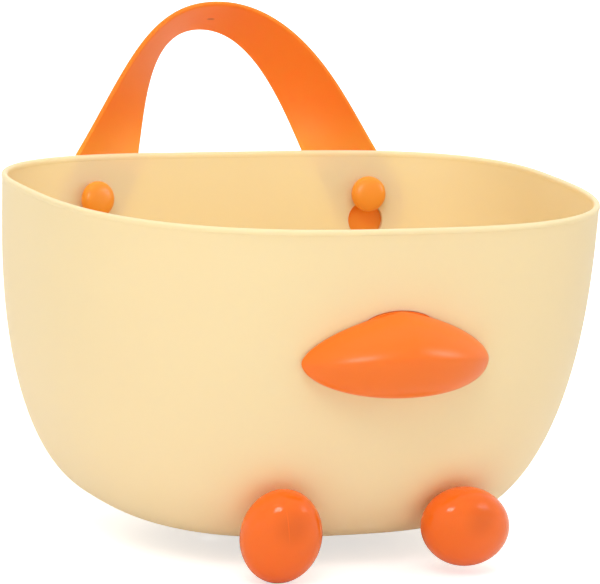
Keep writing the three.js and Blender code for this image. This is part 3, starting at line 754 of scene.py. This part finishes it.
# A square at z 0; a glow on top of its own colour keeps it pale to the camera and in a gloss
def makeFloor():
    half = studio["floorSize"] / 2
    corners = [(-half, -half, 0), (half, -half, 0), (half, half, 0), (-half, half, 0)]
    mesh = bpy.data.meshes.new("floor")
    mesh.from_pydata(corners, [], [(0, 1, 2, 3)])
    floor = bpy.data.objects.new("floor", mesh)
    bpy.context.scene.collection.objects.link(floor)
    material = bpy.data.materials.new("floor_white")
    tree, add = nodeAdder(material)
    output = add("ShaderNodeOutputMaterial")
    matte = add("ShaderNodeBsdfDiffuse")
    matte.inputs["Color"].default_value = (*studio["floorColor"], 1)
    glow = add("ShaderNodeEmission")
    rays = add("ShaderNodeLightPath")
    lift = add("ShaderNodeMath", operation="MULTIPLY")
    lift.inputs[1].default_value = studio["floorLift"]
    mirrored = add("ShaderNodeMath", operation="MAXIMUM")
    gleam = add("ShaderNodeMath", operation="MULTIPLY_ADD")
    gleam.inputs[1].default_value = studio["floorGleam"]
    both = add("ShaderNodeAddShader")
    link = tree.links.new
    link(rays.outputs["Is Camera Ray"], lift.inputs[0])
    link(rays.outputs["Is Glossy Ray"], mirrored.inputs[0])
    link(rays.outputs["Is Transmission Ray"], mirrored.inputs[1])
    link(mirrored.outputs["Value"], gleam.inputs[0])
    link(lift.outputs["Value"], gleam.inputs[2])
    link(gleam.outputs["Value"], glow.inputs["Strength"])
    link(matte.outputs["BSDF"], both.inputs[0])
    link(glow.outputs["Emission"], both.inputs[1])
    link(both.outputs["Shader"], output.inputs["Surface"])
    mesh.materials.append(material)


# White at strength 1 to the camera, in a gloss and through glass; its ambient share lights the rest
def makeWorld():
    world = bpy.data.worlds.new("studio")
    bpy.context.scene.world = world
    tree, add = nodeAdder(world)
    output = add("ShaderNodeOutputWorld")
    shade = add("ShaderNodeBackground")
    rays = add("ShaderNodeLightPath")
    seen = add("ShaderNodeMath", operation="MAXIMUM")
    through = add("ShaderNodeMath", operation="MAXIMUM")
    shade.inputs["Color"].default_value = (1, 1, 1, 1)
    level = add("ShaderNodeMapRange")
    level.inputs["To Min"].default_value = studio["ambient"]
    level.inputs["To Max"].default_value = 1
    link = tree.links.new
    link(rays.outputs["Is Camera Ray"], seen.inputs[0])
    link(rays.outputs["Is Glossy Ray"], seen.inputs[1])
    link(seen.outputs["Value"], through.inputs[0])
    link(rays.outputs["Is Transmission Ray"], through.inputs[1])
    link(through.outputs["Value"], level.inputs["Value"])
    link(level.outputs["Result"], shade.inputs["Strength"])
    link(shade.outputs["Background"], output.inputs["Surface"])


# Unit vector from two angles: azimuth 0 is the beak's side and 90 the right-hand side of the tub
def direction(azimuth, elevation):
    a, e = np.radians([azimuth, elevation])
    return np.array([np.sin(a) * np.cos(e), -np.cos(a) * np.cos(e), np.sin(e)])


# Level axis at a right angle to a direction
def levelAxis(away):
    level = np.cross(upward, away)
    return level / np.linalg.norm(level)


# Puts a lamp or camera, which looks down its own -z, at a place on three axes
def placeHolder(name, data, place, axes):
    holder = bpy.data.objects.new(name, data)
    turn = np.eye(4)
    turn[:3, :3] = np.stack(axes, 1)
    turn[:3, 3] = place
    holder.matrix_world = Matrix(turn.tolist())
    bpy.context.scene.collection.objects.link(holder)
    return holder


# Each lamp faces the tub's middle from its azimuth and elevation
def makeSoftboxes():
    middle = toWorld([0, 0, -tub["height"] / 2])
    for box in studio["softboxes"]:
        lamp = bpy.data.lights.new(box["name"], "AREA")
        lamp.shape = "RECTANGLE"
        lamp.size, lamp.size_y = box["size"]
        lamp.energy = box["watts"]
        away = direction(box["azimuth"], box["elevation"])
        sideways = levelAxis(away)
        axes = (sideways, np.cross(away, sideways), away)
        holder = placeHolder(box["name"], lamp, middle + away * studio["distance"], axes)
        holder.visible_glossy = box["lights"] == "gloss"
        holder.visible_diffuse = box["lights"] == "matt"


camera = dict(
    azimuth=-26.592, elevation=11.433, roll=-3.942, distance=2326.4,
    focalPixels=4725.4, imageWidth=600, sensor=36, aimAside=7.21, aimDown=55.87, farthest=50,
)


# The photograph's camera: a direction, a roll about it and the point that it aims at
def makeCamera():
    away = direction(camera["azimuth"], camera["elevation"])
    level = levelAxis(away)
    upright = np.cross(away, level)
    roll = np.radians(camera["roll"])
    sideways = np.cos(roll) * level - np.sin(roll) * upright
    topWay = np.sin(roll) * level + np.cos(roll) * upright
    aim = camera["aimAside"] * level - camera["aimDown"] * upward
    lens = bpy.data.cameras.new("camera")
    lens.sensor_fit = "HORIZONTAL"
    lens.sensor_width = camera["sensor"]
    lens.lens = camera["focalPixels"] * camera["sensor"] / camera["imageWidth"]
    lens.clip_end = camera["farthest"]
    place = toWorld(aim + away * camera["distance"])
    bpy.context.scene.camera = placeHolder("camera", lens, place, (sideways, topWay, away))


makeFloor()
makeWorld()
makeSoftboxes()
makeCamera()
bpy.context.scene.view_settings.view_transform = "Standard"
print("studio set")
